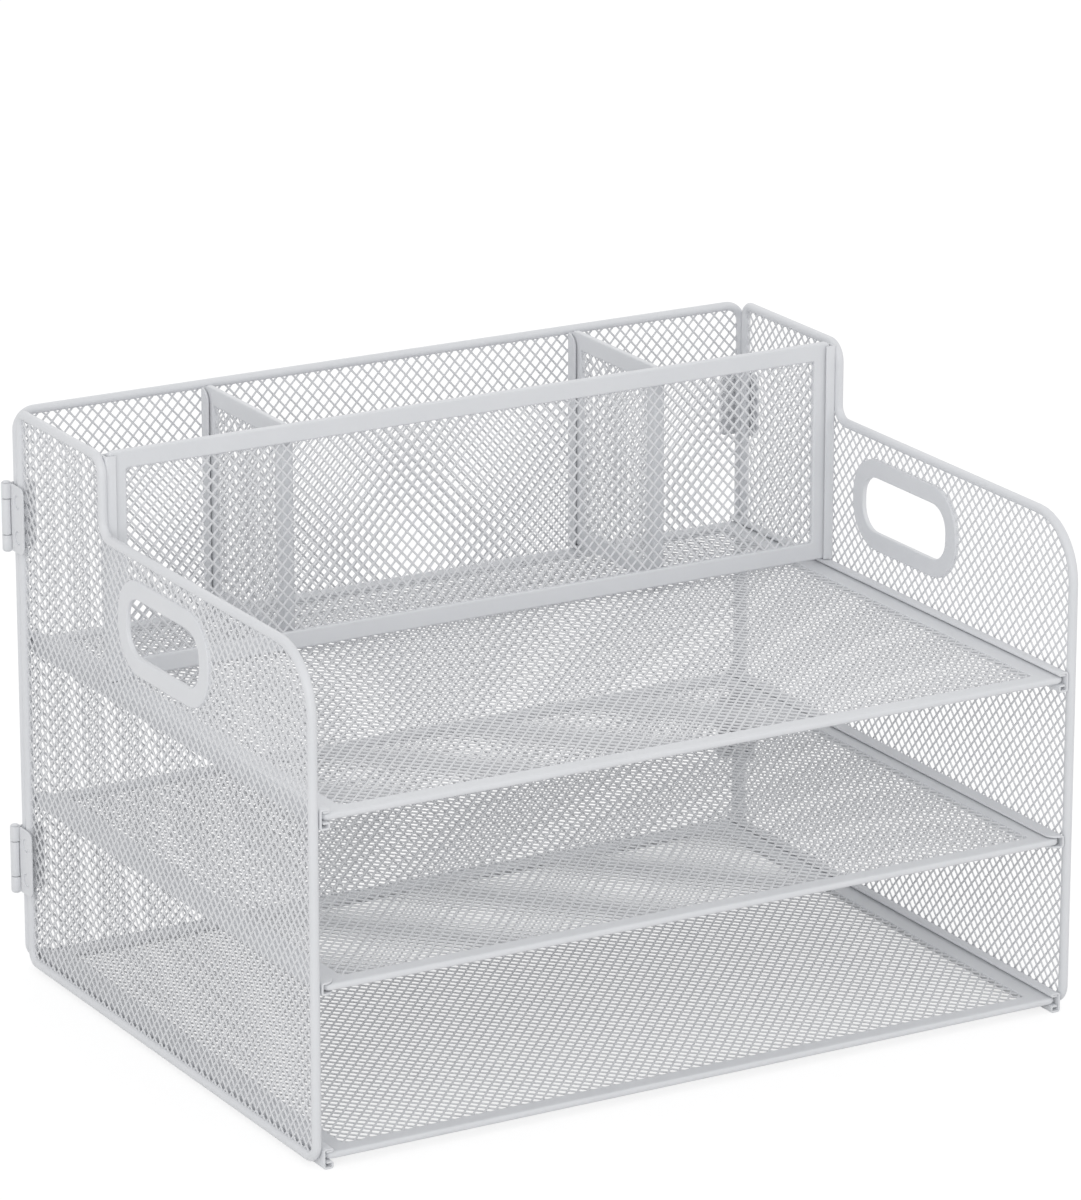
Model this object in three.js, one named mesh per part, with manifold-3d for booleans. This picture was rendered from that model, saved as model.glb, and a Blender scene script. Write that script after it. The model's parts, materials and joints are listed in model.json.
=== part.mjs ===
import * as THREE from "three";
import { mergeVertices } from "three/addons/utils/BufferGeometryUtils.js";
import Module from "manifold-3d";

const wasm = await Module();
wasm.setup();

// A desk organizer shelf of powder-coated steel mesh, in millimetres, +Z up, front towards -Y.
// The origin is on the desk, under the middle of the shelf.
// The pieces are laid out with Y from the front of the side panels and Z from their foot.

// Side panels
const shelfWidth = 330; // over the outer faces of the side panels
const sideDepth = 242;
const sideHeight = 227.4; // of the tall rear section
const stepHeight = 30.9; // from the long front section up to the tall one
const tallDepth = 74.7; // of the tall rear section
const frontTopRadius = 26;
const frontFootRadius = 8.5;
const rearRadius = 6;
const tallFrontRadius = 9;
const stepRadius = 4.5; // in the corner between the two sections
const sideBarWidth = 3.8; // of the rim, in the plane of the panel
const sideBarThickness = 3.6;
const sideBarEdge = 1.1;

// Back panel
const backTopDrop = 0.4; // its top below the side panels'
const backBar = 3.6; // its rim is as wide as it is thick
const backBarEdge = 1.05;
const backTopRadius = 9;
const backFootRadius = 8;

// Mesh and gaps
const meshThickness = 0.6;
const meshBorder = 3; // whole edge round the mesh's openings
const openingPitch = 42; // about, and coarser than the real mesh
const openingShare = 0.73; // of the pitch
const smallestOpening = 0.12; // of a full one
const seatGap = 0.3; // between pieces that are welded or rest on each other

// Handle in each side panel
const handleLength = 59.5;
const handleHeight = 22.5;
const handleRadius = 9.5;
const handleCentreY = 119;
const handleDrop = 29.9; // its middle below the front section's top
const handlePlateWidth = 7.5;
const handlePlateThickness = 2;
const handlePlateEdge = 0.5;

// Trays and their rails
const trayThickness = 2.6;
const trayEdge = 0.5;
const trayFrontBand = 7; // of the frame, front and rear
const traySideBand = 10.3;
const trayCornerRadius = 3.5;
const trayHoleRadius = 2;
const trayMeshDrop = 0.4; // its mesh's top face below that of its frame
const traySetback = 0.8; // behind the front of the side panels
const trayRearSpace = 1; // before the rear of the side panels
const trayBottomZ = 1.7; // underside of the lowest tray
const traySpacing = 65.2;
const traySideClearance = 0.5;
const trayHeightClearance = 0.4; // above and below a tray in its rail
const sheet = 0.8; // folded steel of rails and channels
const railSetback = 0.5; // front and rear
const hemRailDepth = 4.2;
const lowerHem = 3; // hollow hem that the tray lies on
const upperHem = 1.6; // hem folded flat
const hemSlot = 0.5; // between the lower hem's end and the rail's wall
const plainRailDepth = 6.2;
const plainRailRadius = 5; // front corners of its flanges

// Front panel, which stands on the top rails
const panelThickness = 2.6;
const panelTopDrop = 0.5; // its top below the side panels'
const panelBand = 7.3;
const panelEdge = 0.5;
const panelRadius = 2;
const panelSetback = 3.1; // its front face behind the front of the tall section
const panelEndClearance = 0.7;
const panelClearance = 0.6; // before and behind it in its channels
const panelChannelDepth = 3.8;
const channelTopDrop = 1.4; // a channel's top below that of the piece it takes

// Dividers and their channels
const dividerSpacing = 165; // between the middles of the two
const dividerThickness = 2.4;
const dividerTopDrop = 1.3; // their tops below the side panels'
const dividerBand = 7.3;
const dividerRadius = 3;
const dividerEdge = 0.4;
const dividerClearance = 0.5;
const frontChannelDepth = 5;
const backChannelDepth = 6;
const backChannelRadius = 5;

// Hinges
const hingeHeight = 27;
const lowerHingeZ = 43.3; // middle of the lower hinges
const upperHingeDrop = 44; // middle of the upper hinges below the top
const knuckleRadius = 2;
const middleKnuckle = 14.2;
const knuckleGap = 0.3;
const pinRadius = 1.1;
const pinClearance = 0.1;
const pinHeadRadius = 1.7;
const pinHeadHeight = 0.7;
const leafThickness = 0.8;
const leafReach = 12.4; // from the pin's axis to the free edge
const leafRadius = 3;
const hingeBehind = 0.5; // the pin's axis behind the rear face of the back panel
const dimpleRadius = 2.7; // each leaf is pressed down where it is spot welded
const dimpleDepth = 0.4;
const dimpleReach = 7.6; // from the pin's axis
const dimpleSpacing = 14.4;

// Places that follow from the sizes
const sideFace = shelfWidth / 2;
const sideInner = sideFace - sideBarThickness;
const sideMiddle = sideFace - sideBarThickness / 2;
const frontHeight = sideHeight - stepHeight;
const tallFrontY = sideDepth - tallDepth;
const handleCentreZ = frontHeight - handleDrop;
const wallOuter = sideInner - seatGap; // outer face of rails and panel channels
const wallInner = wallOuter - sheet;
const trayHalfWidth = wallInner - traySideClearance;
const trayRearY = sideDepth - trayRearSpace;
const railBottomZ = trayBottomZ - trayHeightClearance - lowerHem;
const plainRailBottomZ = trayBottomZ + traySpacing - trayHeightClearance - sheet;
const railLength = sideDepth - 2 * railSetback;
const railMiddleY = sideDepth / 2;
const topTrayZ = trayBottomZ + 2 * traySpacing;
const topRailTopZ = topTrayZ + trayThickness + trayHeightClearance + upperHem;
const panelBottomZ = topRailTopZ + seatGap;
const panelHeight = sideHeight - panelTopDrop - panelBottomZ;
const panelFrontY = tallFrontY + panelSetback;
const panelMiddleY = panelFrontY + panelThickness / 2;
const panelRearY = panelFrontY + panelThickness;
const panelHalfWidth = wallInner - panelEndClearance;
const backFrontY = sideDepth + seatGap;
const backHeight = sideHeight - backTopDrop;
const backMiddleY = backFrontY + backBar / 2;
const backRearY = backFrontY + backBar;
const backHalfWidth = sideFace - seatGap;
const hingeX = sideFace + knuckleRadius;
const hingeY = backRearY + hingeBehind;
const upperHingeZ = sideHeight - upperHingeDrop;
const overallDepth = hingeY + knuckleRadius;
const leafInset = knuckleRadius - seatGap - leafThickness / 2; // a side leaf's middle inside the axis
const backLeafY = backRearY + seatGap + leafThickness / 2;
const frontChannelY = panelRearY + seatGap;
const panelChannelHeight = panelHeight - channelTopDrop;
const panelChannelZ = panelBottomZ + panelChannelHeight / 2;
const dividerBottomZ = panelBottomZ;
const dividerHeight = sideHeight - dividerTopDrop - dividerBottomZ;
const footZ = dividerBottomZ - seatGap - sheet; // underside of the divider channels' feet
const dividerChannelHeight = dividerBottomZ + dividerHeight - channelTopDrop - footZ;
const channelZ = footZ + dividerChannelHeight / 2;
const dividerFrontY = frontChannelY + sheet + dividerClearance;
const backChannelRearY = backFrontY - seatGap;
const dividerRearY = backChannelRearY - sheet - dividerClearance;

const arcSteps = 3; // a quarter arc has twice as many straight pieces
const roundSteps = 8; // a full circle has twice as many

const powderCoat = new THREE.MeshStandardMaterial({ color: 0xd9dadb, roughness: 0.5, metalness: 0.05 });
const meshCoat = new THREE.MeshStandardMaterial({ color: 0xcfd0d1, roughness: 0.6, metalness: 0.05 });
const pinSteel = new THREE.MeshStandardMaterial({ color: 0xd9dadb, roughness: 0.5, metalness: 0.05 });

// Outlines are lists of corners {x, y, r} with square turns, anticlockwise, each rounded by its radius r.
function rectangle(x0, y0, x1, y1, r) {
  return [
    { x: x0, y: y0, r },
    { x: x1, y: y0, r },
    { x: x1, y: y1, r },
    { x: x0, y: y1, r },
  ];
}

function turnAt(corners, i) {
  const here = new THREE.Vector2(corners[i].x, corners[i].y);
  const before = corners.at(i - 1);
  const after = corners[(i + 1) % corners.length];
  const arriving = here.clone().sub(before).normalize();
  const leaving = new THREE.Vector2(after.x, after.y).sub(here).normalize();
  return { here, arriving, leaving, side: Math.sign(arriving.cross(leaving)) };
}

// The same outline drawn in by a distance, or out by a negative one.
function inset(corners, distance) {
  return corners.map((corner, i) => {
    const { arriving, leaving, side } = turnAt(corners, i);
    return {
      x: corner.x - distance * (arriving.y + leaving.y),
      y: corner.y + distance * (arriving.x + leaving.x),
      r: corner.r > 0 ? Math.max(corner.r - side * distance, 0) : 0,
    };
  });
}

function draw(path, corners) {
  corners.forEach((corner, i) => {
    const { here, arriving, side } = turnAt(corners, i);
    if (corner.r === 0) {
      if (i === 0) path.moveTo(here.x, here.y);
      else path.lineTo(here.x, here.y);
      return;
    }
    const inward = new THREE.Vector2(-arriving.y, arriving.x).multiplyScalar(side * corner.r);
    const centre = here.clone().addScaledVector(arriving, -corner.r).add(inward);
    const start = Math.atan2(-inward.y, -inward.x);
    path.absarc(centre.x, centre.y, corner.r, start, start + (side * Math.PI) / 2, side < 0);
  });
  return path;
}

// A flat piece in the XY plane, centred on its thickness, with its edges taken off by edge.
function slab(corners, thickness, holes = [], edge = 0) {
  const shape = draw(new THREE.Shape(), corners);
  shape.holes = holes.map((hole) => draw(new THREE.Path(), hole));
  return extrude(shape, thickness, edge, arcSteps);
}

function extrude(shape, thickness, edge, curveSegments) {
  const geometry = new THREE.ExtrudeGeometry(shape, {
    depth: thickness - 2 * edge,
    curveSegments,
    bevelEnabled: edge > 0,
    bevelThickness: edge,
    bevelSize: edge,
    bevelOffset: -edge,
    bevelSegments: 1,
  });
  return geometry.translate(0, 0, edge - thickness / 2);
}

function disc(radius, thickness, edge = 0) {
  const shape = new THREE.Shape().absarc(0, 0, radius, 0, 2 * Math.PI);
  return extrude(shape, thickness, edge, roundSteps);
}

// Flat pieces are turned upright: along the shelf's depth for x, y to become Y, Z,
// or across its width for x, y to become X, Z.
const along = new THREE.Matrix4().set(0, 0, 1, 0, 1, 0, 0, 0, 0, 1, 0, 0, 0, 0, 0, 1);
const across = new THREE.Matrix4().set(1, 0, 0, 0, 0, 0, -1, 0, 0, 1, 0, 0, 0, 0, 0, 1);

function solid(geometry) {
  const bare = geometry.clone().deleteAttribute("normal").deleteAttribute("uv");
  const merged = mergeVertices(bare, 1e-4);
  return new wasm.Manifold(
    new wasm.Mesh({
      numProp: 3,
      vertProperties: merged.attributes.position.array,
      triVerts: new Uint32Array(merged.index.array),
    }),
  );
}

function surface(body) {
  const { vertProperties, triVerts } = body.getMesh();
  const geometry = new THREE.BufferGeometry();
  geometry.setAttribute("position", new THREE.BufferAttribute(vertProperties, 3));
  geometry.setIndex(new THREE.BufferAttribute(triVerts, 1));
  geometry.computeVertexNormals();
  return geometry;
}

function piece(name, geometry, material, x = 0, y = 0, z = 0) {
  const mesh = new THREE.Mesh(geometry, material);
  mesh.name = name;
  mesh.position.set(x, y, z);
  return mesh;
}

// The openings of a mesh: diamonds in staggered rows over a field, halves along its edges.
function diamonds(field) {
  const xs = field.map((corner) => corner.x);
  const ys = field.map((corner) => corner.y);
  const [left, low] = [Math.min(...xs), Math.min(...ys)];
  const [width, height] = [Math.max(...xs) - left, Math.max(...ys) - low];
  const columns = Math.max(Math.round(width / openingPitch), 1);
  const rows = Math.max(Math.round(height / openingPitch), 1);
  const halfWidth = (openingShare * width) / columns / 2;
  const halfHeight = (openingShare * height) / rows / 2;
  const shapes = [];
  for (let i = 0; i <= 2 * columns; i++) {
    for (let j = (i + 1) % 2; j <= 2 * rows; j += 2) {
      const x = left + (i * width) / columns / 2;
      const y = low + (j * height) / rows / 2;
      const points = [[x - halfWidth, y], [x, y - halfHeight], [x + halfWidth, y], [x, y + halfHeight]];
      shapes.push(new THREE.Shape(points.map(([u, v]) => new THREE.Vector2(u, v))));
    }
  }
  return { shapes, area: 2 * halfWidth * halfHeight };
}

// A sheet of mesh, drawn flat.
function meshSheet(outline, holes = []) {
  const field = inset(outline, meshBorder);
  const kept = slab(field, meshThickness, holes.map((hole) => inset(hole, -meshBorder)));
  const { shapes, area } = diamonds(field);
  const openings = solid(extrude(shapes, 2 * meshThickness, 0, arcSteps)).intersect(solid(kept));
  const wide = openings
    .decompose()
    .filter((opening) => opening.volume() > smallestOpening * area * meshThickness)
    .map((opening) => opening.scale([1, 1, 2]));
  const sheet = solid(slab(outline, meshThickness, holes));
  return surface(sheet.subtract(wasm.Manifold.union(wide)));
}

// A frame of bar or band and the mesh in it, drawn flat and turned by stand.
function framed(outer, inner, thickness, edge, stand) {
  return {
    frame: slab(outer, thickness, [inner], edge).applyMatrix4(stand),
    mesh: meshSheet(inset(inner, seatGap)).applyMatrix4(stand),
  };
}

const sideOutline = [
  { x: 0, y: 0, r: frontFootRadius },
  { x: sideDepth, y: 0, r: rearRadius },
  { x: sideDepth, y: sideHeight, r: rearRadius },
  { x: tallFrontY, y: sideHeight, r: tallFrontRadius },
  { x: tallFrontY, y: frontHeight, r: stepRadius },
  { x: 0, y: frontHeight, r: frontTopRadius },
];

function handleOutline() {
  const halfLength = handleLength / 2;
  const halfHeight = handleHeight / 2;
  return rectangle(
    handleCentreY - halfLength,
    handleCentreZ - halfHeight,
    handleCentreY + halfLength,
    handleCentreZ + halfHeight,
    handleRadius,
  );
}

// A folded rail with hems, for the top and bottom trays; x is outwards and y is up.
function hemRail() {
  const lip = wallOuter - hemRailDepth;
  const lower = lowerHem;
  const upper = lower + trayThickness + 2 * trayHeightClearance;
  const section = [
    { x: wallOuter, y: 0 },
    { x: wallOuter, y: upper + upperHem },
    { x: lip, y: upper + upperHem },
    { x: lip, y: upper },
    { x: wallInner, y: upper },
    { x: wallInner, y: sheet },
    { x: lip + sheet, y: sheet },
    { x: lip + sheet, y: lower - sheet },
    { x: wallInner - hemSlot, y: lower - sheet },
    { x: wallInner - hemSlot, y: lower },
    { x: lip, y: lower },
    { x: lip, y: 0 },
  ];
  const corners = section.map((corner) => ({ ...corner, r: 0 }));
  return slab(corners, railLength).applyMatrix4(across);
}

// The plain middle rail, with its flanges rounded at the front and rear.
function plainRail() {
  const height = trayThickness + 2 * trayHeightClearance;
  const section = channelSection(height, plainRailDepth);
  const rail = slab(section, railLength).applyMatrix4(across).translate(wallOuter, 0, sheet + height / 2);
  const lip = wallOuter - plainRailDepth;
  const plan = rectangle(lip, -railLength / 2, wallOuter, railLength / 2, 0);
  plan[0].r = plainRailRadius;
  plan[3].r = plainRailRadius;
  const trim = slab(plan, 2 * (height + 2 * sheet)).translate(0, 0, sheet + height / 2);
  return surface(solid(rail).intersect(solid(trim)));
}

// A channel's section: its web lies on x = 0, its mouth is towards -x, and it is centred on y = 0.
function channelSection(cavity, depth) {
  const half = cavity / 2;
  return [
    { x: 0, y: -half - sheet },
    { x: 0, y: half + sheet },
    { x: -depth, y: half + sheet },
    { x: -depth, y: half },
    { x: -sheet, y: half },
    { x: -sheet, y: -half },
    { x: -depth, y: -half },
    { x: -depth, y: -half - sheet },
  ].map((corner) => ({ ...corner, r: 0 }));
}

function panelChannel() {
  const cavity = panelThickness + 2 * panelClearance;
  return slab(channelSection(cavity, panelChannelDepth), panelChannelHeight);
}

const dividerCavity = dividerThickness + 2 * dividerClearance;

// On the rear face of the front panel, open at both ends, so that either piece lifts out alone.
function frontDividerChannel() {
  const section = channelSection(dividerCavity, frontChannelDepth);
  return slab(section, dividerChannelHeight).rotateZ(-Math.PI / 2);
}

// On the back panel, with a closed foot and the top of its mouth rounded.
function backDividerChannel() {
  const half = dividerChannelHeight / 2;
  const width = dividerCavity + 2 * sheet;
  const section = channelSection(dividerCavity, backChannelDepth);
  const channel = slab(section, dividerChannelHeight);
  const floor = slab(rectangle(-backChannelDepth, -width / 2, 0, width / 2, 0), sheet);
  const foot = floor.translate(0, 0, sheet / 2 - half);
  const profile = rectangle(-backChannelDepth, -half, 0, half, 0);
  profile[3].r = backChannelRadius;
  const trim = slab(profile, 2 * width).applyMatrix4(across);
  const folded = solid(channel).add(solid(foot)).intersect(solid(trim));
  return surface(folded).rotateZ(Math.PI / 2);
}

// A hinge's leaf lies in x = 0 with its free edge towards -y; the pin's axis is at x = off, y = 0.
// Its knuckles are given as [middle, height] pairs along z, and its dimples open to openSide.
function hingeLeaf(off, knuckles, openSide) {
  const half = hingeHeight / 2;
  const plate = rectangle(-leafReach, -half, -knuckleRadius - knuckleGap, half, 0);
  plate[0].r = leafRadius;
  plate[3].r = leafRadius;
  let leaf = solid(slab(plate, leafThickness).applyMatrix4(along));
  const wallMiddle = (knuckleRadius + pinRadius + pinClearance) / 2;
  const tongueEnd = -Math.sqrt(Math.max(wallMiddle ** 2 - off ** 2, 0));
  for (const [middle, height] of knuckles) {
    const tongue = rectangle(-leafReach / 2, middle - height / 2, tongueEnd, middle + height / 2, 0);
    leaf = leaf.add(solid(slab(tongue, leafThickness).applyMatrix4(along)));
    leaf = leaf.add(solid(disc(knuckleRadius, height).translate(off, 0, middle)));
  }
  leaf = leaf.subtract(solid(disc(pinRadius + pinClearance, 2 * hingeHeight).translate(off, 0, 0)));
  for (const end of [-1, 1]) {
    const dimple = disc(dimpleRadius, 2 * dimpleDepth).rotateY(Math.PI / 2);
    dimple.translate((openSide * leafThickness) / 2, -dimpleReach, (end * dimpleSpacing) / 2);
    leaf = leaf.subtract(solid(dimple));
  }
  return surface(leaf);
}

function hingePin() {
  const seat = hingeHeight / 2 + pinClearance;
  const profile = [
    [0, -seat - pinHeadHeight],
    [pinRadius, -seat - pinHeadHeight],
    [pinHeadRadius, -seat - pinHeadHeight / 2],
    [pinHeadRadius, -seat],
    [pinRadius, -seat],
    [pinRadius, seat],
    [pinHeadRadius, seat],
    [pinHeadRadius, seat + pinHeadHeight / 2],
    [pinRadius, seat + pinHeadHeight],
    [0, seat + pinHeadHeight],
  ].map(([x, y]) => new THREE.Vector2(x, y));
  return new THREE.LatheGeometry(profile, 2 * roundSteps).rotateX(Math.PI / 2);
}

const outerKnuckle = (hingeHeight - middleKnuckle) / 2 - knuckleGap;
const outerKnuckleMiddle = (hingeHeight - outerKnuckle) / 2;
const hinges = [
  ["lower", lowerHingeZ],
  ["upper", upperHingeZ],
];

// The right side panel, in its place; the left one is its mirror image.
function sidePanel(name) {
  const group = new THREE.Group();
  const handle = handleOutline();
  const handleRim = inset(handle, -handlePlateWidth);
  const inner = inset(sideOutline, sideBarWidth);
  const rim = slab(sideOutline, sideBarThickness, [inner], sideBarEdge).applyMatrix4(along);
  const opening = inset(handleRim, -seatGap);
  const mesh = meshSheet(inset(inner, seatGap), [opening]).applyMatrix4(along);
  const handlePlate = slab(handleRim, handlePlateThickness, [handle], handlePlateEdge).applyMatrix4(along);
  group.add(
    piece(`${name}_side_rim`, rim, powderCoat, sideMiddle),
    piece(`${name}_side_mesh`, mesh, meshCoat, sideMiddle),
    piece(`${name}_handle_plate`, handlePlate, powderCoat, sideMiddle),
    piece(`${name}_bottom_rail`, hemRail(), powderCoat, 0, railMiddleY, railBottomZ),
    piece(`${name}_middle_rail`, plainRail(), powderCoat, 0, railMiddleY, plainRailBottomZ),
    piece(`${name}_top_rail`, hemRail(), powderCoat, 0, railMiddleY, railBottomZ + 2 * traySpacing),
    piece(`${name}_panel_channel`, panelChannel(), powderCoat, wallOuter, panelMiddleY, panelChannelZ),
  );
  for (const [level, z] of hinges) {
    const leaf = hingeLeaf(leafInset, [[0, middleKnuckle]], 1);
    group.add(piece(`${name}_${level}_side_leaf`, leaf, powderCoat, hingeX - leafInset, hingeY, z));
  }
  return group;
}

// The back panel's pieces on the right: its hinge leaves and pins, and one divider channel.
function backHalf(name) {
  const group = new THREE.Group();
  const knuckles = [-1, 1].map((end) => [end * outerKnuckleMiddle, outerKnuckle]);
  for (const [level, z] of hinges) {
    const leaf = hingeLeaf(backLeafY - hingeY, knuckles, -1).rotateZ(-Math.PI / 2);
    group.add(
      piece(`${name}_${level}_back_leaf`, leaf, powderCoat, hingeX, backLeafY, z),
      piece(`${name}_${level}_hinge_pin`, hingePin(), pinSteel, hingeX, hingeY, z),
    );
  }
  const channelX = dividerSpacing / 2;
  group.add(
    piece(`${name}_back_channel`, backDividerChannel(), powderCoat, channelX, backChannelRearY, channelZ),
  );
  return group;
}

function backPanel() {
  const outer = rectangle(-backHalfWidth, 0, backHalfWidth, backHeight, backFootRadius);
  outer[2].r = backTopRadius;
  outer[3].r = backTopRadius;
  const { frame, mesh } = framed(outer, inset(outer, backBar), backBar, backBarEdge, across);
  const left = backHalf("left");
  left.scale.x = -1;
  return new THREE.Group().add(
    piece("back_rim", frame, powderCoat, 0, backMiddleY),
    piece("back_mesh", mesh, meshCoat, 0, backMiddleY),
    left,
    backHalf("right"),
  );
}

function tray(name, bottomZ) {
  const outer = rectangle(-trayHalfWidth, traySetback, trayHalfWidth, trayRearY, trayCornerRadius);
  const inner = rectangle(
    traySideBand - trayHalfWidth,
    traySetback + trayFrontBand,
    trayHalfWidth - traySideBand,
    trayRearY - trayFrontBand,
    trayHoleRadius,
  );
  const { frame, mesh } = framed(outer, inner, trayThickness, trayEdge, new THREE.Matrix4());
  const meshZ = bottomZ + trayThickness - trayMeshDrop - meshThickness / 2;
  return new THREE.Group().add(
    piece(`${name}_tray_frame`, frame, powderCoat, 0, 0, bottomZ + trayThickness / 2),
    piece(`${name}_tray_mesh`, mesh, meshCoat, 0, 0, meshZ),
  );
}

function frontPanel() {
  const outer = rectangle(-panelHalfWidth, 0, panelHalfWidth, panelHeight, panelRadius);
  const inner = inset(outer, panelBand).map((corner) => ({ ...corner, r: panelRadius }));
  const { frame, mesh } = framed(outer, inner, panelThickness, panelEdge, across);
  const group = new THREE.Group().add(
    piece("front_panel_frame", frame, powderCoat, 0, panelMiddleY, panelBottomZ),
    piece("front_panel_mesh", mesh, meshCoat, 0, panelMiddleY, panelBottomZ),
  );
  for (const [name, side] of [["left", -1], ["right", 1]]) {
    const x = (side * dividerSpacing) / 2;
    group.add(piece(`${name}_front_channel`, frontDividerChannel(), powderCoat, x, frontChannelY, channelZ));
  }
  return group;
}

function divider(name, x) {
  const outer = rectangle(dividerFrontY, 0, dividerRearY, dividerHeight, dividerRadius);
  const { frame, mesh } = framed(outer, inset(outer, dividerBand), dividerThickness, dividerEdge, along);
  return new THREE.Group().add(
    piece(`${name}_divider_frame`, frame, powderCoat, x, 0, dividerBottomZ),
    piece(`${name}_divider_mesh`, mesh, meshCoat, x, 0, dividerBottomZ),
  );
}

const leftSide = sidePanel("left");
leftSide.scale.x = -1;

const shelf = new THREE.Group().add(
  backPanel(),
  leftSide,
  sidePanel("right"),
  tray("bottom", trayBottomZ),
  tray("middle", trayBottomZ + traySpacing),
  tray("top", topTrayZ),
  frontPanel(),
  divider("left", -dividerSpacing / 2),
  divider("right", dividerSpacing / 2),
);
shelf.position.set(0, -overallDepth / 2, -railBottomZ);

export default shelf;
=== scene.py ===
import json
import math

import bmesh
import bpy
import numpy as np
from mathutils import Matrix, Vector
from mathutils.geometry import delaunay_2d_cdt

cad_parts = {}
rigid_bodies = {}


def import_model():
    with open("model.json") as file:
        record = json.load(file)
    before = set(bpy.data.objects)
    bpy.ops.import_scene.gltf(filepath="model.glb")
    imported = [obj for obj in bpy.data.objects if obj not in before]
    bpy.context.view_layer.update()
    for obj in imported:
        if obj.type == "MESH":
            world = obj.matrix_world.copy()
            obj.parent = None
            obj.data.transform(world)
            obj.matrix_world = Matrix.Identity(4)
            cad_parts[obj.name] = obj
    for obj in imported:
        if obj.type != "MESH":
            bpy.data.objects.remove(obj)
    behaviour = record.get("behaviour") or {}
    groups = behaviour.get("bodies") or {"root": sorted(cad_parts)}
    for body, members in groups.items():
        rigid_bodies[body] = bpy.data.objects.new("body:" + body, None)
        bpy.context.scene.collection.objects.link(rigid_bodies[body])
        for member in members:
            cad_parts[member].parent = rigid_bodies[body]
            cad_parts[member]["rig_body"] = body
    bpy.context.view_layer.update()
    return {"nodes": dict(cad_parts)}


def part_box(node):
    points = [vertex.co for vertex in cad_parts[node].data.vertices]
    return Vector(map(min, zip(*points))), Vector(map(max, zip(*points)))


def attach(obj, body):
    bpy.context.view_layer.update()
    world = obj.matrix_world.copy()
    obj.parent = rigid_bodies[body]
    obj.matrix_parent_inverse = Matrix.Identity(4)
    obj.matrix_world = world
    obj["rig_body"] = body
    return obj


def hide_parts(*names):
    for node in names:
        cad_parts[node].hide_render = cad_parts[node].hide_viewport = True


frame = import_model()

mm = 0.001           # shapes and patterns are in mm; fk, lamps and camera are in metres
beside = 0.2         # from an edge to the extra row of points that keeps the face beside it flat
cutEase = 0.15       # how far the cut edges of folded sheet are eased
hair = 0.02          # keeps two faces of one piece out of one plane
leastRadius = 0.05
sharpAngle = 35      # an edge that turns more than this is shaded sharp

fineness = {         # straight steps in each curve
    "barRound": 20,
    "barBend": 10,
    "corner": 8,
    "smallCorner": 6,
    "bandEdge": 4,
    "plateEdge": 3,
    "fold": 6,
    "hem": 8,
    "roll": 24,
    "pin": 32,
    "dimple": 36,
}


def linear(hexColour):
    channels = [int(hexColour[i:i + 2], 16) / 255 for i in (1, 3, 5)]
    return tuple(c / 12.92 if c <= 0.04045 else ((c + 0.055) / 1.055) ** 2.4 for c in channels) + (1,)


def addNode(tree, kind, inputs=None, **settings):
    node = tree.nodes.new("ShaderNode" + kind)
    for key, value in settings.items():
        setattr(node, key, value)
    for key, value in (inputs or {}).items():
        if isinstance(value, bpy.types.NodeSocket):
            tree.links.new(value, node.inputs[key])
        else:
            node.inputs[key].default_value = value
    return node


def newMaterial(name):
    material = bpy.data.materials.new(name)
    material.use_nodes = True
    material.node_tree.nodes.clear()
    return material, material.node_tree


# Polyester powder sprayed on steel and baked: a pale satin skin that pulls smooth over every edge,
# with a faint orange peel that breaks up the highlights.
powder = {
    "colour": "#e3e4e7",
    "thinColour": "#dcdee1",
    "roughness": 0.44,
    "roughnessSpread": 0.06,
    "ior": 1.5,
    "peel": 1.6,         # between the bumps; real peel is finer, this shows in the render
    "peelDepth": 0.024,
    "cloud": 24,         # drift of the coat's thickness
}

# The same coat on expanded sheet: the powder gathers on the strands, so it is a little duller there.
meshPowder = dict(powder, colour="#e5e6e8", thinColour="#dadbde", roughness=0.5, peel=1.2, cloud=9)

# Each hinge was coated after its pin was pressed in, so the coat lies thick and smooth over the heads.
pinPowder = dict(powder, roughness=0.4, peel=1.1, cloud=6)

noiseRange = (0.3, 0.7)  # nearly all of a noise's values lie between these


def coatedSteel(name, look):
    material, tree = newMaterial(name)
    place = addNode(tree, "TexCoord").outputs["Object"]
    cloud = addNode(tree, "TexNoise", {"Vector": place, "Scale": 1 / (look["cloud"] * mm), "Detail": 3})
    tone = addNode(tree, "Mix", {"Factor": cloud.outputs["Fac"], 6: linear(look["thinColour"]),
                                 7: linear(look["colour"])}, data_type="RGBA")
    peel = addNode(tree, "TexNoise", {"Vector": place, "Scale": 1 / (look["peel"] * mm), "Detail": 2,
                                      "Roughness": 0.45})
    satin = addNode(tree, "MapRange", {"Value": peel.outputs["Fac"], "From Min": noiseRange[0],
                                       "From Max": noiseRange[1],
                                       "To Min": look["roughness"] - look["roughnessSpread"],
                                       "To Max": look["roughness"] + look["roughnessSpread"]})
    bump = addNode(tree, "Bump", {"Height": peel.outputs["Fac"], "Strength": 1,
                                  "Distance": look["peelDepth"] * mm})
    shader = addNode(tree, "BsdfPrincipled", {"Base Color": tone.outputs[2], "IOR": look["ior"],
                                              "Roughness": satin.outputs["Result"],
                                              "Normal": bump.outputs["Normal"]})
    addNode(tree, "OutputMaterial", {"Surface": shader.outputs["BSDF"]})
    return material


powderCoat = coatedSteel("powderCoatedSteel", powder)
meshCoat = coatedSteel("powderCoatedMesh", meshPowder)
pinCoat = coatedSteel("powderCoatedPinHead", pinPowder)

print("materials made")


# Outlines are lists of corners (x, y, radius) with square turns, anticlockwise.
# A shape is its points, in mm, and its faces.
def rectangle(x0, y0, x1, y1, r):
    return [(x0, y0, r), (x1, y0, r), (x1, y1, r), (x0, y1, r)]


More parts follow.
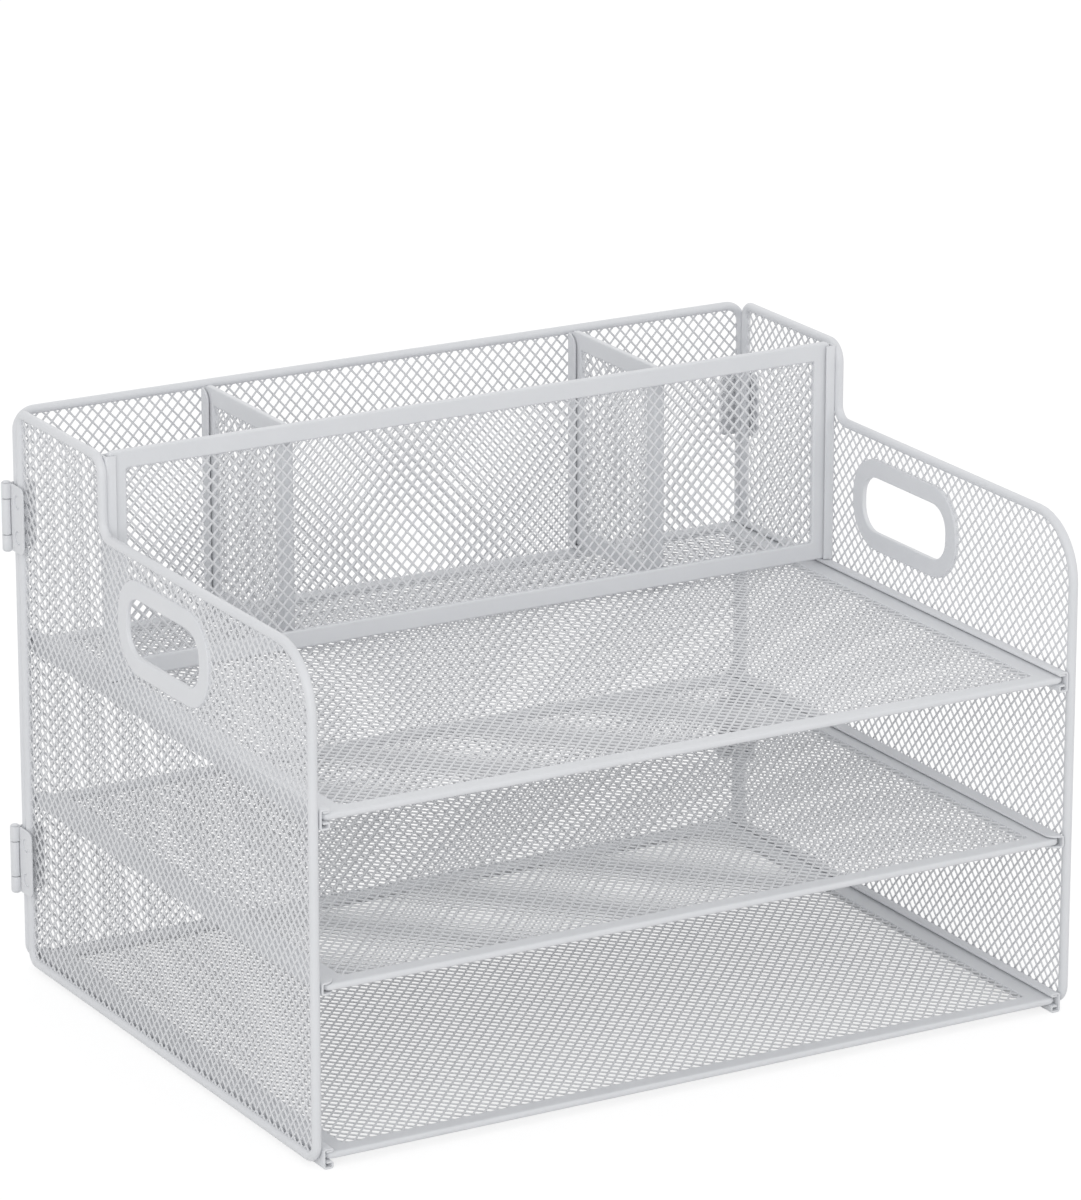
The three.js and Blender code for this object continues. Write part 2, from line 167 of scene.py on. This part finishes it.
# A corner's place, the directions before and after it, and 1 where the outline turns left, else -1.
def turnAt(corners, i):
    here = np.array(corners[i][:2], float)
    arriving = here - corners[i - 1][:2]
    leaving = np.array(corners[(i + 1) % len(corners)][:2], float) - here
    arriving /= np.hypot(*arriving)
    leaving /= np.hypot(*leaving)
    side = 1 if arriving[0] * leaving[1] - arriving[1] * leaving[0] > 0 else -1
    return here, arriving, leaving, side


def inset(corners, distance):
    smaller = []
    for i, (x, y, r) in enumerate(corners):
        _, arriving, leaving, side = turnAt(corners, i)
        smaller.append((x - distance * (arriving[1] + leaving[1]),
                        y + distance * (arriving[0] + leaving[0]),
                        max(r - side * distance, leastRadius)))
    return smaller


# Points round an outline, with one more a margin away from each end of an arc, so that the flats
# shade flat.
def trace(corners, arcSteps=fineness["corner"], margin=1.0):
    points = []
    for i, (_, _, r) in enumerate(corners):
        here, arriving, leaving, side = turnAt(corners, i)
        inward = np.array([-arriving[1], arriving[0]]) * side
        centre = here - arriving * r + inward * r
        points.append(here - arriving * (r + margin))
        for k in range(arcSteps + 1):
            turn = math.pi / 2 * k / arcSteps
            points.append(centre - inward * r * math.cos(turn) + arriving * r * math.sin(turn))
        points.append(here + leaving * (r + margin))
    return np.array(points)


thinAxis = {"side": 0, "back": 1, "flat": 2}  # the axis that a panel in each plane is thin along


# u, v lie in a panel's plane and w is its thickness.
def stand(plane, uv, w):
    return np.insert(np.asarray(uv, float), thinAxis[plane], w, axis=1)


# Rings of points joined one to the next, closed into a loop or capped at both ends.
def loft(rings, loop):
    rings = np.array(rings)
    count, size = rings.shape[:2]
    faces = []
    for a in range(count if loop else count - 1):
        b = (a + 1) % count
        for i in range(size):
            j = (i + 1) % size
            faces.append((a * size + i, a * size + j, b * size + j, b * size + i))
    if not loop:
        faces.append(tuple(range(size)))
        faces.append(tuple(range((count - 1) * size, count * size)))
    return rings.reshape(-1, 3), faces


def joined(shapes):
    points, faces, start = [], [], 0
    for shapePoints, shapeFaces in shapes:
        points.append(shapePoints)
        faces += [tuple(i + start for i in face) for face in shapeFaces]
        start += len(shapePoints)
    return np.concatenate(points), faces


def moved(shape, matrix):
    points, faces = shape
    matrix = np.array(matrix)
    return points @ matrix[:3, :3].T + matrix[:3, 3], faces


# A round bar bent along an outline.
def bentBar(corners, plane, width, low, high):
    middle, half = (low + high) / 2, (high - low) / 2
    rings = []
    for k in range(fineness["barRound"]):
        turn = 2 * math.pi * k / fineness["barRound"]
        ring = trace(inset(corners, width / 2 * (1 - math.cos(turn))), fineness["barBend"])
        rings.append(stand(plane, ring, middle + half * math.sin(turn)))
    return loft(rings, True)


# The rounded edge of a sheet, from its low face to its high face: (how far in, height).
def edgeSection(low, high, edge, steps):
    section = [(edge + beside, low)]
    for start, seat in ((-90, low + edge), (0, high - edge)):
        for k in range(steps + 1):
            turn = math.radians(start + 90 * k / steps)
            section.append((edge * (1 - math.cos(turn)), seat + edge * math.sin(turn)))
    return section + [(edge + beside, high)]


# A flat band between two outlines, with rounded edges.
def flatBand(outer, inner, plane, low, high, edge, holeEdge):
    steps = fineness["bandEdge"]
    rings = [(outer, depth, height) for depth, height in edgeSection(low, high, edge, steps)]
    rings += [(inner, -depth, height) for depth, height in edgeSection(low, high, holeEdge, steps)[::-1]]
    return loft([stand(plane, trace(inset(c, d)), h) for c, d, h in rings], True)


# A plate with rounded edges; its last face is its high one.
def plate(corners, low, high, edge, margin=0.3):
    section = edgeSection(low, high, edge, fineness["plateEdge"])
    return loft([stand("flat", trace(inset(corners, d), fineness["smallCorner"], margin), h)
                 for d, h in section], False)


# A line through corners with each bend rounded.
def bentLine(corners, radius):
    corners = [np.array(c, float) for c in corners]
    line = [corners[0]]
    margin = min(beside, radius / 2)
    for before, here, after in zip(corners, corners[1:], corners[2:]):
        arriving, leaving = here - before, after - here
        arriving /= np.hypot(*arriving)
        leaving /= np.hypot(*leaving)
        cross = arriving[0] * leaving[1] - arriving[1] * leaving[0]
        bend = math.atan2(cross, float(arriving @ leaving))
        reach = radius * math.tan(abs(bend) / 2)
        start = here - arriving * reach
        line.append(start - arriving * margin)
        centre = start + np.array([-arriving[1], arriving[0]]) * radius * math.copysign(1, bend)
        spoke = start - centre
        for k in range(fineness["fold"] + 1):
            turn = bend * k / fineness["fold"]
            line.append(centre + [spoke[0] * math.cos(turn) - spoke[1] * math.sin(turn),
                                  spoke[0] * math.sin(turn) + spoke[1] * math.cos(turn)])
        line.append(here + leaving * (reach + margin))
    line.append(corners[-1])
    return np.array(line)


# The outline of a folded sheet whose middle follows a line, with its cut edges eased.
def sheetOutline(line, thickness, shrink):
    half = thickness / 2 - shrink
    steps = np.diff(line, axis=0)
    steps /= np.hypot(steps[:, 0], steps[:, 1])[:, None]
    normals = np.stack([-steps[:, 1], steps[:, 0]], axis=1)
    spread = np.concatenate([normals[:1], normals[:-1] + normals[1:], normals[-1:]])
    spread[1:-1] /= (spread[1:-1] * normals[1:]).sum(axis=1)[:, None]
    line = line.copy()
    line[0] += steps[0] * shrink
    line[-1] -= steps[-1] * shrink
    left, right = line + spread * half, line - spread * half
    startCorners = [right[0] + steps[0] * cutEase, line[0] - spread[0] * (half - cutEase),
                    line[0] + spread[0] * (half - cutEase), left[0] + steps[0] * cutEase]
    endCorners = [left[-1] - steps[-1] * cutEase, line[-1] + spread[-1] * (half - cutEase),
                  line[-1] - spread[-1] * (half - cutEase), right[-1] - steps[-1] * cutEase]
    return np.array(startCorners + list(left[1:-1]) + endCorners + list(right[1:-1][::-1]))


inX, inY, inZ = np.eye(3)
endEase = [(0, 0.9), (1 / 3, 0.3), (1, 0)]  # at a sheet's ends: how far along and how far in, in cutEase


# A folded sheet drawn out over a length. lineAt gives its line at a distance from the near end.
# place is the near end's origin, the directions of the line's x and y, and that of the length.
def foldedSheet(lineAt, thickness, place, length, stations=()):
    eased = [(along * cutEase, inwards * cutEase) for along, inwards in endEase]
    levels = eased + [(d, 0) for d in stations] + [(length - d, s) for d, s in eased]
    origin, across, rising, onwards = place
    rings = []
    for distance, shrink in sorted(levels):
        outline = sheetOutline(lineAt(distance), thickness, shrink)
        rings.append(origin + outline[:, :1] * across + outline[:, 1:] * rising + distance * onwards)
    return loft(rings, False)


strand = {
    "pitch": (4.93, 5.42),  # a diamond's width and height, as counted on the photo
    "width": 0.8,
    "depth": 0.6,
    "ease": 0.18,
    "layer": 0.06,          # one direction stands this far proud of the other
    "hold": 1.2,            # how far the strands reach into the rim
    "shortest": 1,
}


def strandBar(plane, along, across, offset, start, end, height):
    halfWidth, halfDepth, ease = strand["width"] / 2, strand["depth"] / 2, strand["ease"]
    section = [(halfWidth, halfDepth - ease), (halfWidth - ease, halfDepth),
               (ease - halfWidth, halfDepth), (-halfWidth, halfDepth - ease)]
    section += [(-a, -b) for a, b in section]
    rings = []
    for travel in (start, end):
        uv = [along * travel + across * (offset + a) for a, b in section]
        rings.append(stand(plane, uv, [height + b for a, b in section]))
    return loft(rings, False)


# Expanded sheet: straight strands in two directions that fill a panel, cut off inside its rim.
def lattice(plane, loops, middle):
    loopPoints = [trace(loop, fineness["smallCorner"]) for loop in loops]
    lowest = loopPoints[0].min(axis=0)
    highest = loopPoints[0].max(axis=0)
    centre = (lowest + highest) / 2
    reach = np.hypot(*(highest - lowest)) / 2
    pitch = np.array(strand["pitch"])
    shapes = []
    for sign in (-1, 1):
        along = np.array([pitch[0], sign * pitch[1]]) / np.hypot(*pitch)
        across = np.array([-along[1], along[0]])
        spacing = abs(pitch[0] * along[1])
        height = middle + sign * strand["layer"]
        for k in range(-int(reach / spacing) - 1, int(reach / spacing) + 2):
            offset = (k + 0.5) * spacing + float(centre @ across)
            cuts = []
            for points in loopPoints:
                depth = points @ across - offset
                travel = points @ along
                nextDepth, nextTravel = np.roll(depth, -1), np.roll(travel, -1)
                crossing = (depth > 0) != (nextDepth > 0)
                share = depth[crossing] / (depth[crossing] - nextDepth[crossing])
                cuts += list(travel[crossing] + share * (nextTravel[crossing] - travel[crossing]))
            cuts.sort()
            for start, end in zip(cuts[::2], cuts[1::2]):
                if end - start > strand["shortest"]:
                    shapes.append(strandBar(plane, along, across, offset, start, end, height))
    return joined(shapes)


def boxOf(node):
    low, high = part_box(node)
    return np.array(low) / mm, np.array(high) / mm


# Each piece stands for one CAD node, on that node's body.
def makePiece(name, shape, material, node):
    points, faces = shape
    mesh = bpy.data.meshes.new(name)
    mesh.from_pydata((points * mm).tolist(), [], faces)
    body = bmesh.new()
    body.from_mesh(mesh)
    bmesh.ops.recalc_face_normals(body, faces=body.faces)
    for face in body.faces:
        face.smooth = True
    for edge in body.edges:
        edge.smooth = edge.calc_face_angle(0) < math.radians(sharpAngle)
    body.to_mesh(mesh)
    body.free()
    mesh.materials.append(material)
    piece = bpy.data.objects.new(name, mesh)
    bpy.context.scene.collection.objects.link(piece)
    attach(piece, frame["nodes"][node]["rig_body"])
    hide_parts(node)


sidePanel = {
    "stepHeight": 30.9,
    "tallDepth": 74.7,
    "frontTopRadius": 26,
    "frontFootRadius": 8.5,
    "rearRadius": 6,
    "tallFrontRadius": 9,
    "stepRadius": 4.5,
    "bar": 3.8,
    "handleRing": 7.5,
    "handleRadius": 9.5,
    "handleEdge": 0.55,
}

for side in ("left", "right"):
    low, high = boxOf(side + "_side_rim")
    front, foot, rear, top = low[1], low[2], high[1], high[2]
    tallFront = rear - sidePanel["tallDepth"]
    stepTop = top - sidePanel["stepHeight"]
    outline = [
        (front, foot, sidePanel["frontFootRadius"]),
        (rear, foot, sidePanel["rearRadius"]),
        (rear, top, sidePanel["rearRadius"]),
        (tallFront, top, sidePanel["tallFrontRadius"]),
        (tallFront, stepTop, sidePanel["stepRadius"]),
        (front, stepTop, sidePanel["frontTopRadius"]),
    ]
    rim = bentBar(outline, "side", sidePanel["bar"], low[0], high[0])
    makePiece(side + "_side_bar", rim, powderCoat, side + "_side_rim")

    ringLow, ringHigh = boxOf(side + "_handle_plate")
    ringRadius = sidePanel["handleRadius"] + sidePanel["handleRing"]
    ringOuter = rectangle(ringLow[1], ringLow[2], ringHigh[1], ringHigh[2], ringRadius)
    ringInner = inset(ringOuter, sidePanel["handleRing"])
    ring = flatBand(ringOuter, ringInner, "side", ringLow[0], ringHigh[0],
                    sidePanel["handleEdge"], sidePanel["handleEdge"])
    makePiece(side + "_handle_ring", ring, powderCoat, side + "_handle_plate")

    loops = [inset(outline, sidePanel["bar"] - strand["hold"]),
             inset(ringOuter, sidePanel["handleRing"] / 2)]
    sheet = lattice("side", loops, (low[0] + high[0]) / 2)
    makePiece(side + "_side_strands", sheet, meshCoat, side + "_side_mesh")
print("side panels made")

backPanel = {"bar": 3.6, "footRadius": 8, "topRadius": 9}

low, high = boxOf("back_rim")
backRear = high[1]
outline = rectangle(low[0], low[2], high[0], high[2], backPanel["footRadius"])
outline[2] = (high[0], high[2], backPanel["topRadius"])
outline[3] = (low[0], high[2], backPanel["topRadius"])
rim = bentBar(outline, "back", backPanel["bar"], low[1], high[1])
makePiece("back_bar", rim, powderCoat, "back_rim")
sheet = lattice("back", [inset(outline, backPanel["bar"] - strand["hold"])], (low[1] + high[1]) / 2)
makePiece("back_strands", sheet, meshCoat, "back_mesh")
print("back panel made")


# A flat frame and the expanded sheet in its hole; a look's bands are the widths of its sides and ends.
def framedSheet(name, plane, look):
    low, high = boxOf(name + "_frame")
    thin = thinAxis[plane]
    u, v = [axis for axis in range(3) if axis != thin]
    sideBand, endBand = look["bands"]
    outer = rectangle(low[u], low[v], high[u], high[v], look["radius"])
    inner = rectangle(low[u] + sideBand, low[v] + endBand, high[u] - sideBand, high[v] - endBand,
                      look["holeRadius"])
    band = flatBand(outer, inner, plane, low[thin], high[thin], look["edge"], look["holeEdge"])
    makePiece(name + "_band", band, powderCoat, name + "_frame")
    meshLow, meshHigh = boxOf(name + "_mesh")
    sheet = lattice(plane, [inset(inner, -strand["hold"])], (meshLow[thin] + meshHigh[thin]) / 2)
    makePiece(name + "_strands", sheet, meshCoat, name + "_mesh")


tray = {"bands": (10.3, 7), "radius": 3.5, "holeRadius": 2, "edge": 1.1, "holeEdge": 0.3}

for level in ("bottom", "middle", "top"):
    framedSheet(level + "_tray", "flat", tray)
print("trays made")

frontPanel = {"bands": (7.3, 7.3), "radius": 2, "holeRadius": 0.9, "edge": 0.7, "holeEdge": 0.7}

framedSheet("front_panel", "back", frontPanel)

divider = {"bands": (7.3, 7.3), "radius": 3, "holeRadius": 0.9, "edge": 0.7, "holeEdge": 0.7}

for side in ("left", "right"):
    framedSheet(side + "_divider", "side", divider)
print("front panel and dividers made")

rail = {
    "sheet": 0.8,
    "fold": 0.7,         # radius of a fold, at the middle of the sheet
    "lowerHem": 3,
    "hemEnd": 1.3,       # the hems' cut edges stay this far from the wall's outer face
    "hemGap": 0.04,      # inside the upper hem, which is folded flat
    "flangeRadius": 5,
    "leastReach": 1.6,   # of a flange where its corner starts
}

panelChannel = {
    "fold": 0.46,        # sharper than the rails' folds
    "weld": 0.2,         # how far its wall is sunk into the rim that it is welded to
}


# A hemmed rail's line; x is inwards from the outer face of its wall, y is up.
def hemLine(depth, height):
    half = rail["sheet"] / 2
    lower = rail["lowerHem"] - half
    lowerFold = bentLine([(rail["hemEnd"], lower), (depth - half, lower), (depth - half, half),
                          (half, half), (half, height / 2)], rail["fold"])
    upperFold = bentLine([(half, height / 2), (half, height - half), (depth, height - half)],
                         rail["fold"])
    radius = half + rail["hemGap"] / 2
    x, y = depth - half - radius, height - half - radius
    turns = np.radians(np.linspace(90, -90, fineness["hem"] + 1))
    upperHem = [(x + radius * math.cos(t), y + radius * math.sin(t)) for t in turns]
    return np.concatenate([lowerFold[:-1], upperFold[1:-1], upperHem, [(rail["hemEnd"], y - radius)]])


# A channel's line; x is inwards from the outer face of its wall, and y is across it.
def channelLine(depth, width, fold=rail["fold"]):
    half = rail["sheet"] / 2
    across = width / 2 - half
    return bentLine([(depth, -across), (half, -across), (half, across), (depth, across)], fold)


# How far a flange reaches at a distance from its end, where its corner is rounded.
def roundedReach(distance, depth, radius):
    if distance >= radius:
        return depth
    return max(depth - radius + math.sqrt(radius ** 2 - (radius - distance) ** 2), rail["leastReach"])


def cornerStations(radius):
    return [radius * (1 - math.cos(math.radians(degrees))) for degrees in range(15, 91, 15)]


for side, way in (("left", 1), ("right", -1)):
    for level in ("bottom", "top"):
        node = f"{side}_{level}_rail"
        low, high = boxOf(node)
        face = low[0] if way > 0 else high[0]
        line = hemLine(high[0] - low[0], high[2] - low[2])
        place = ((face, low[1], low[2]), way * inX, inZ, inY)
        folded = foldedSheet(lambda distance: line, rail["sheet"] - hair, place, high[1] - low[1])
        makePiece(node + "_folded", folded, powderCoat, node)

    node = side + "_middle_rail"
    low, high = boxOf(node)
    face = low[0] if way > 0 else high[0]
    depth, height, length = high[0] - low[0], high[2] - low[2], high[1] - low[1]

    def middleRailLine(distance):
        nearest = min(distance, length - distance)
        return channelLine(roundedReach(nearest, depth, rail["flangeRadius"]), height)

    stations = cornerStations(rail["flangeRadius"])
    stations += [length - d for d in stations]
    place = ((face, low[1], (low[2] + high[2]) / 2), way * inX, inZ, inY)
    folded = foldedSheet(middleRailLine, rail["sheet"], place, length, stations)
    makePiece(node + "_folded", folded, powderCoat, node)

    node = side + "_panel_channel"
    low, high = boxOf(node)
    rimLow, rimHigh = boxOf(side + "_side_rim")
    lip = high[0] if way > 0 else low[0]
    face = (rimHigh[0] if way > 0 else rimLow[0]) - way * panelChannel["weld"]
    line = channelLine(abs(lip - face), high[1] - low[1], panelChannel["fold"])
    place = ((face, (low[1] + high[1]) / 2, low[2]), way * inX, inY, inZ)
    folded = foldedSheet(lambda distance: line, rail["sheet"], place, high[2] - low[2])
    makePiece(node + "_folded", folded, powderCoat, node)
print("rails and panel channels made")

dividerChannel = {"topRadius": 5}  # of the flanges of the channels on the back

for side in ("left", "right"):
    node = side + "_front_channel"
    low, high = boxOf(node)
    line = channelLine(high[1] - low[1], high[0] - low[0])
    place = (((low[0] + high[0]) / 2, low[1], low[2]), inY, inX, inZ)
    folded = foldedSheet(lambda distance: line, rail["sheet"], place, high[2] - low[2])
    makePiece(node + "_folded", folded, powderCoat, node)

    node = side + "_back_channel"
    low, high = boxOf(node)
    depth, height = high[1] - low[1], high[2] - low[2]

    def backChannelLine(distance):
        reach = roundedReach(height - distance, depth, dividerChannel["topRadius"])
        return channelLine(reach, high[0] - low[0])

    stations = [height - d for d in cornerStations(dividerChannel["topRadius"])]
    place = (((low[0] + high[0]) / 2, high[1], low[2]), -inY, inX, inZ)
    folded = foldedSheet(backChannelLine, rail["sheet"], place, height, stations)
    half = rail["sheet"] / 2
    foot = rectangle(low[0] + half, low[1], high[0] - half, high[1] - half, half)
    foot = plate(foot, low[2] + hair, low[2] + rail["sheet"], cutEase)
    makePiece(node + "_folded", joined([folded, foot]), powderCoat, node)
print("divider channels made")

hinge = {
    "pin": 1.1,
    "pinClearance": 0.1,
    "barrel": 2.0,
    "leaf": 0.8,
    "seatGap": 0.3,      # between a leaf and the plane that it faces
    "edge": 0.25,
    "freeRadius": 3,
    "knuckleRadius": 0.3,  # of the leaf's corners by the knuckles
    "middleKnuckle": 14.2,
    "knuckleGap": 0.3,
    "tongue": (1, 0.2),  # the rolled sheet starts this far inside the leaf and bends this far past it
    "rollStart": (0.99, 0.9),  # share of the roll's radius, and how far before the pin's axis
    "rollEnd": 297,      # degrees round the pin, so that the cut edge ends close to the leaf
    "dimple": 2.7,       # radius of the round spots where a leaf is pressed down and welded
    "dimpleWall": [(0.1, 0), (0.02, 0.04), (0, 0.12), (-0.02, 0.5), (-0.1, 0.58), (-0.22, 0.54),
                   (-0.34, 0.38), (-0.5, 0.29)],  # out from the radius, down from the face
    "dimpleFloor": [(0.72, 0.24), (0.4, 0.2), (0.1, 0.19)],  # share of the radius, down from the face
    "dimpleReach": 7.6,
    "dimpleSpacing": 14.4,
    "headRadius": 1.7,
    "headHeight": 0.7,
    "headEase": (0.05, 0.08),  # inwards and upwards, round the foot of a pin's head
}


# A hinge leaf's plate, pressed down in round spots; the middle of each is a low dome.
def dimpledPlate(corners, centres, off, openSide):
    high, radius = hinge["leaf"] / 2, hinge["dimple"]
    points, faces = plate(corners, -high, high, hinge["edge"])
    loops = [list(faces.pop())]
    points = [tuple(p) for p in points]
    profile = [(radius + beside, high)]
    profile += [(radius + out, high - down) for out, down in hinge["dimpleWall"]]
    profile += [(radius * share, high - down) for share, down in hinge["dimpleFloor"]]
    count = fineness["dimple"]
    turns = np.radians(np.arange(count) * 360 / count)
    for u, v in centres:
        first = len(points)
        for reach, height in profile:
            points += [(u + reach * math.cos(t), v + reach * math.sin(t), height) for t in turns]
        for a in range(first, len(points) - count, count):
            faces += [(a + i, a + (i + 1) % count, a + count + (i + 1) % count, a + count + i)
                      for i in range(count)]
        faces.append(tuple(range(len(points) - count, len(points))))
        loops.append(list(range(first, first + count)))
    used = [i for loop in loops for i in loop]
    order = {i: k for k, i in enumerate(used)}
    borders = [(order[a], order[b]) for loop in loops for a, b in zip(loop, loop[1:] + loop[:1])]
    insideOnly, closest = 1, 1e-7
    flat = delaunay_2d_cdt([Vector(points[i][:2]) for i in used], borders, [], insideOnly, closest)
    origin = [used[sources[0]] for sources in flat[3]]
    for face in flat[2]:
        face = tuple(origin[i] for i in face)
        if not any(set(face) <= set(ring) for ring in loops[1:]):  # those lie over a spot
            faces.append(face)
    return np.array([(off + openSide * h, u, v) for u, v, h in points]), faces


# A leaf seen down its pin, which is at the origin: the leaf lies at x = off with its free edge
# towards -y, and each knuckle is the same sheet rolled round the pin.
def hingeLeaf(off, reach, height, knuckles, openSide):
    half, bare = height / 2, hinge["barrel"] + hinge["knuckleGap"]
    corners = rectangle(-reach, -half, -bare, half, hinge["knuckleRadius"])
    corners[0] = (-reach, -half, hinge["freeRadius"])
    corners[3] = (-reach, half, hinge["freeRadius"])
    centres = [(-hinge["dimpleReach"], end * hinge["dimpleSpacing"] / 2) for end in (-1, 1)]
    shapes = [dimpledPlate(corners, centres, off, openSide)]
    inside, past = hinge["tongue"]
    share, before = hinge["rollStart"]
    rolled = hinge["leaf"] - 2 * hair  # so that it starts under the leaf's faces
    roll = math.copysign(hinge["barrel"] - rolled / 2, off)
    line = [(off, -bare - inside), (off, -bare + past), (roll * share, -before)]
    for turn in np.radians(np.linspace(0, hinge["rollEnd"], fineness["roll"] + 1)):
        line.append((roll * math.cos(turn), abs(roll) * math.sin(turn)))
    line = np.array(line)
    for middle, length in knuckles:
        place = ((0, 0, middle - length / 2), inX, inY, inZ)
        shapes.append(foldedSheet(lambda distance: line, rolled, place, length))
    return joined(shapes)


# A pin with a domed head at each end, as a profile of (radius, height) turned round its axis.
def turnedPin(height):
    seat = height / 2 + hinge["pinClearance"]
    head, (inwards, upwards) = hinge["headRadius"], hinge["headEase"]
    upper = [(hinge["pin"], seat), (head - inwards, seat), (head, seat + upwards)]
    for degrees in range(15, 91, 15):
        turn = math.radians(degrees)
        upper.append((max(head * math.cos(turn), leastRadius),
                      seat + upwards + (hinge["headHeight"] - upwards) * math.sin(turn)))
    lower = [(radius, -level) for radius, level in upper[::-1]]
    turns = [2 * math.pi * k / fineness["pin"] for k in range(fineness["pin"])]
    return loft([[(radius * math.cos(t), radius * math.sin(t), level) for t in turns]
                 for radius, level in lower + upper], False)


quarterTurn = Matrix.Rotation(math.radians(-90), 4, "Z")
for side, way in (("left", -1), ("right", 1)):
    mirror = Matrix.Diagonal((way, 1, 1, 1))
    for level in ("lower", "upper"):
        name = f"{side}_{level}_"
        pinLow, pinHigh = boxOf(name + "hinge_pin")
        axis = (pinLow + pinHigh) / 2
        spot = Matrix.Translation(axis)
        leafLow, leafHigh = boxOf(name + "side_leaf")
        height = leafHigh[2] - leafLow[2]
        off = hinge["barrel"] - hinge["seatGap"] - hinge["leaf"] / 2
        leaf = hingeLeaf(-off, axis[1] - leafLow[1], height, [(0, hinge["middleKnuckle"])], 1)
        makePiece(name + "side_leaf_rolled", moved(leaf, spot @ mirror), powderCoat, name + "side_leaf")

        outer = (height - hinge["middleKnuckle"]) / 2 - hinge["knuckleGap"]
        knuckles = [(end * (height - outer) / 2, outer) for end in (-1, 1)]
        backLow, backHigh = boxOf(name + "back_leaf")
        reach = abs((backLow[0] if way > 0 else backHigh[0]) - axis[0])
        off = axis[1] - backRear - hinge["seatGap"] - hinge["leaf"] / 2
        leaf = hingeLeaf(-off, reach, height, knuckles, -1)
        makePiece(name + "back_leaf_rolled", moved(leaf, spot @ mirror @ quarterTurn), powderCoat,
                  name + "back_leaf")

        makePiece(name + "pin_turned", moved(turnedPin(height), spot), pinCoat, name + "hinge_pin")
print("hinges made")

studio = {
    "world": 0.76,
    "key": {"place": (-1.7, -1.8, 0.75), "size": 1.6, "power": 15},
    "fill": {"place": (1.6, -1.0, 1.1), "size": 1.6, "power": 4},
    "rear": {"place": (0.4, 1.6, 1.6), "size": 1.4, "power": 4},
    "target": (0, 0, 0.1),
    "floorReach": 6,
    "floorColour": "#e6e6e6",  # as the object's light meets it
    "floorShade": 0.3,         # as it is seen: the share that takes shadows
    "floorGlow": 0.78,         # and the share that stays pale
}


# 1 for what the camera sees, directly or in gloss or glass, and 0 for the light on the object.
def seen(tree):
    path = addNode(tree, "LightPath")
    direct = addNode(tree, "Math", {0: path.outputs["Is Camera Ray"], 1: path.outputs["Is Glossy Ray"]},
                     operation="MAXIMUM")
    return addNode(tree, "Math", {0: direct.outputs[0], 1: path.outputs["Is Transmission Ray"]},
                   operation="MAXIMUM").outputs[0]


world = bpy.data.worlds.new("paleStudio")
bpy.context.scene.world = world
world.use_nodes = True
tree = world.node_tree
tree.nodes.clear()
strength = addNode(tree, "MapRange", {"Value": seen(tree), "To Min": studio["world"], "To Max": 1})
sky = addNode(tree, "Background", {"Color": (1, 1, 1, 1), "Strength": strength.outputs["Result"]})
addNode(tree, "OutputWorld", {"Surface": sky.outputs["Background"]})

floorMaterial, tree = newMaterial("paleFloor")
table = addNode(tree, "BsdfDiffuse", {"Color": linear(studio["floorColour"])})
shade = addNode(tree, "BsdfDiffuse", {"Color": (studio["floorShade"],) * 3 + (1,)})
glow = addNode(tree, "Emission", {"Color": (1, 1, 1, 1), "Strength": studio["floorGlow"]})
lit = addNode(tree, "AddShader", {0: shade.outputs[0], 1: glow.outputs[0]})
both = addNode(tree, "MixShader", {0: seen(tree), 1: table.outputs[0], 2: lit.outputs[0]})
addNode(tree, "OutputMaterial", {"Surface": both.outputs[0]})

floorMesh = bpy.data.meshes.new("floor")
reach = studio["floorReach"]
floorMesh.from_pydata([(-reach, -reach, 0), (reach, -reach, 0), (reach, reach, 0), (-reach, reach, 0)],
                      [], [(0, 1, 2, 3)])
floorMesh.materials.append(floorMaterial)
floor = bpy.data.objects.new("floor", floorMesh)
bpy.context.scene.collection.objects.link(floor)


def aim(thing, place, target):
    thing.location = place
    thing.rotation_euler = (Vector(target) - Vector(place)).to_track_quat("-Z", "Y").to_euler()
    bpy.context.scene.collection.objects.link(thing)


for name in ("key", "fill", "rear"):
    lamp = bpy.data.lights.new(name, "AREA")
    lamp.shape = "SQUARE"
    lamp.size = studio[name]["size"]
    lamp.energy = studio[name]["power"]
    aim(bpy.data.objects.new(name, lamp), studio[name]["place"], studio["target"])

photo = {
    "place": (-1.16691, -2.04040, 0.89561),
    "yaw": 29.772,       # degrees from the shelf's depth towards its right
    "pitch": 17.414,     # degrees down
    "focal": 6420.73,    # pixels
    "height": 1200,      # pixels
    "sensor": 36,        # mm
}

lens = bpy.data.cameras.new("photoLens")
lens.sensor_width = photo["sensor"]
lens.lens = photo["sensor"] * photo["focal"] / photo["height"]
camera = bpy.data.objects.new("photoCamera", lens)
yaw, pitch = math.radians(photo["yaw"]), math.radians(photo["pitch"])
look = Vector((math.sin(yaw) * math.cos(pitch), math.cos(yaw) * math.cos(pitch), -math.sin(pitch)))
aim(camera, photo["place"], Vector(photo["place"]) + look)
bpy.context.scene.camera = camera
bpy.context.scene.view_settings.view_transform = "Standard"
print("floor, light and camera placed")
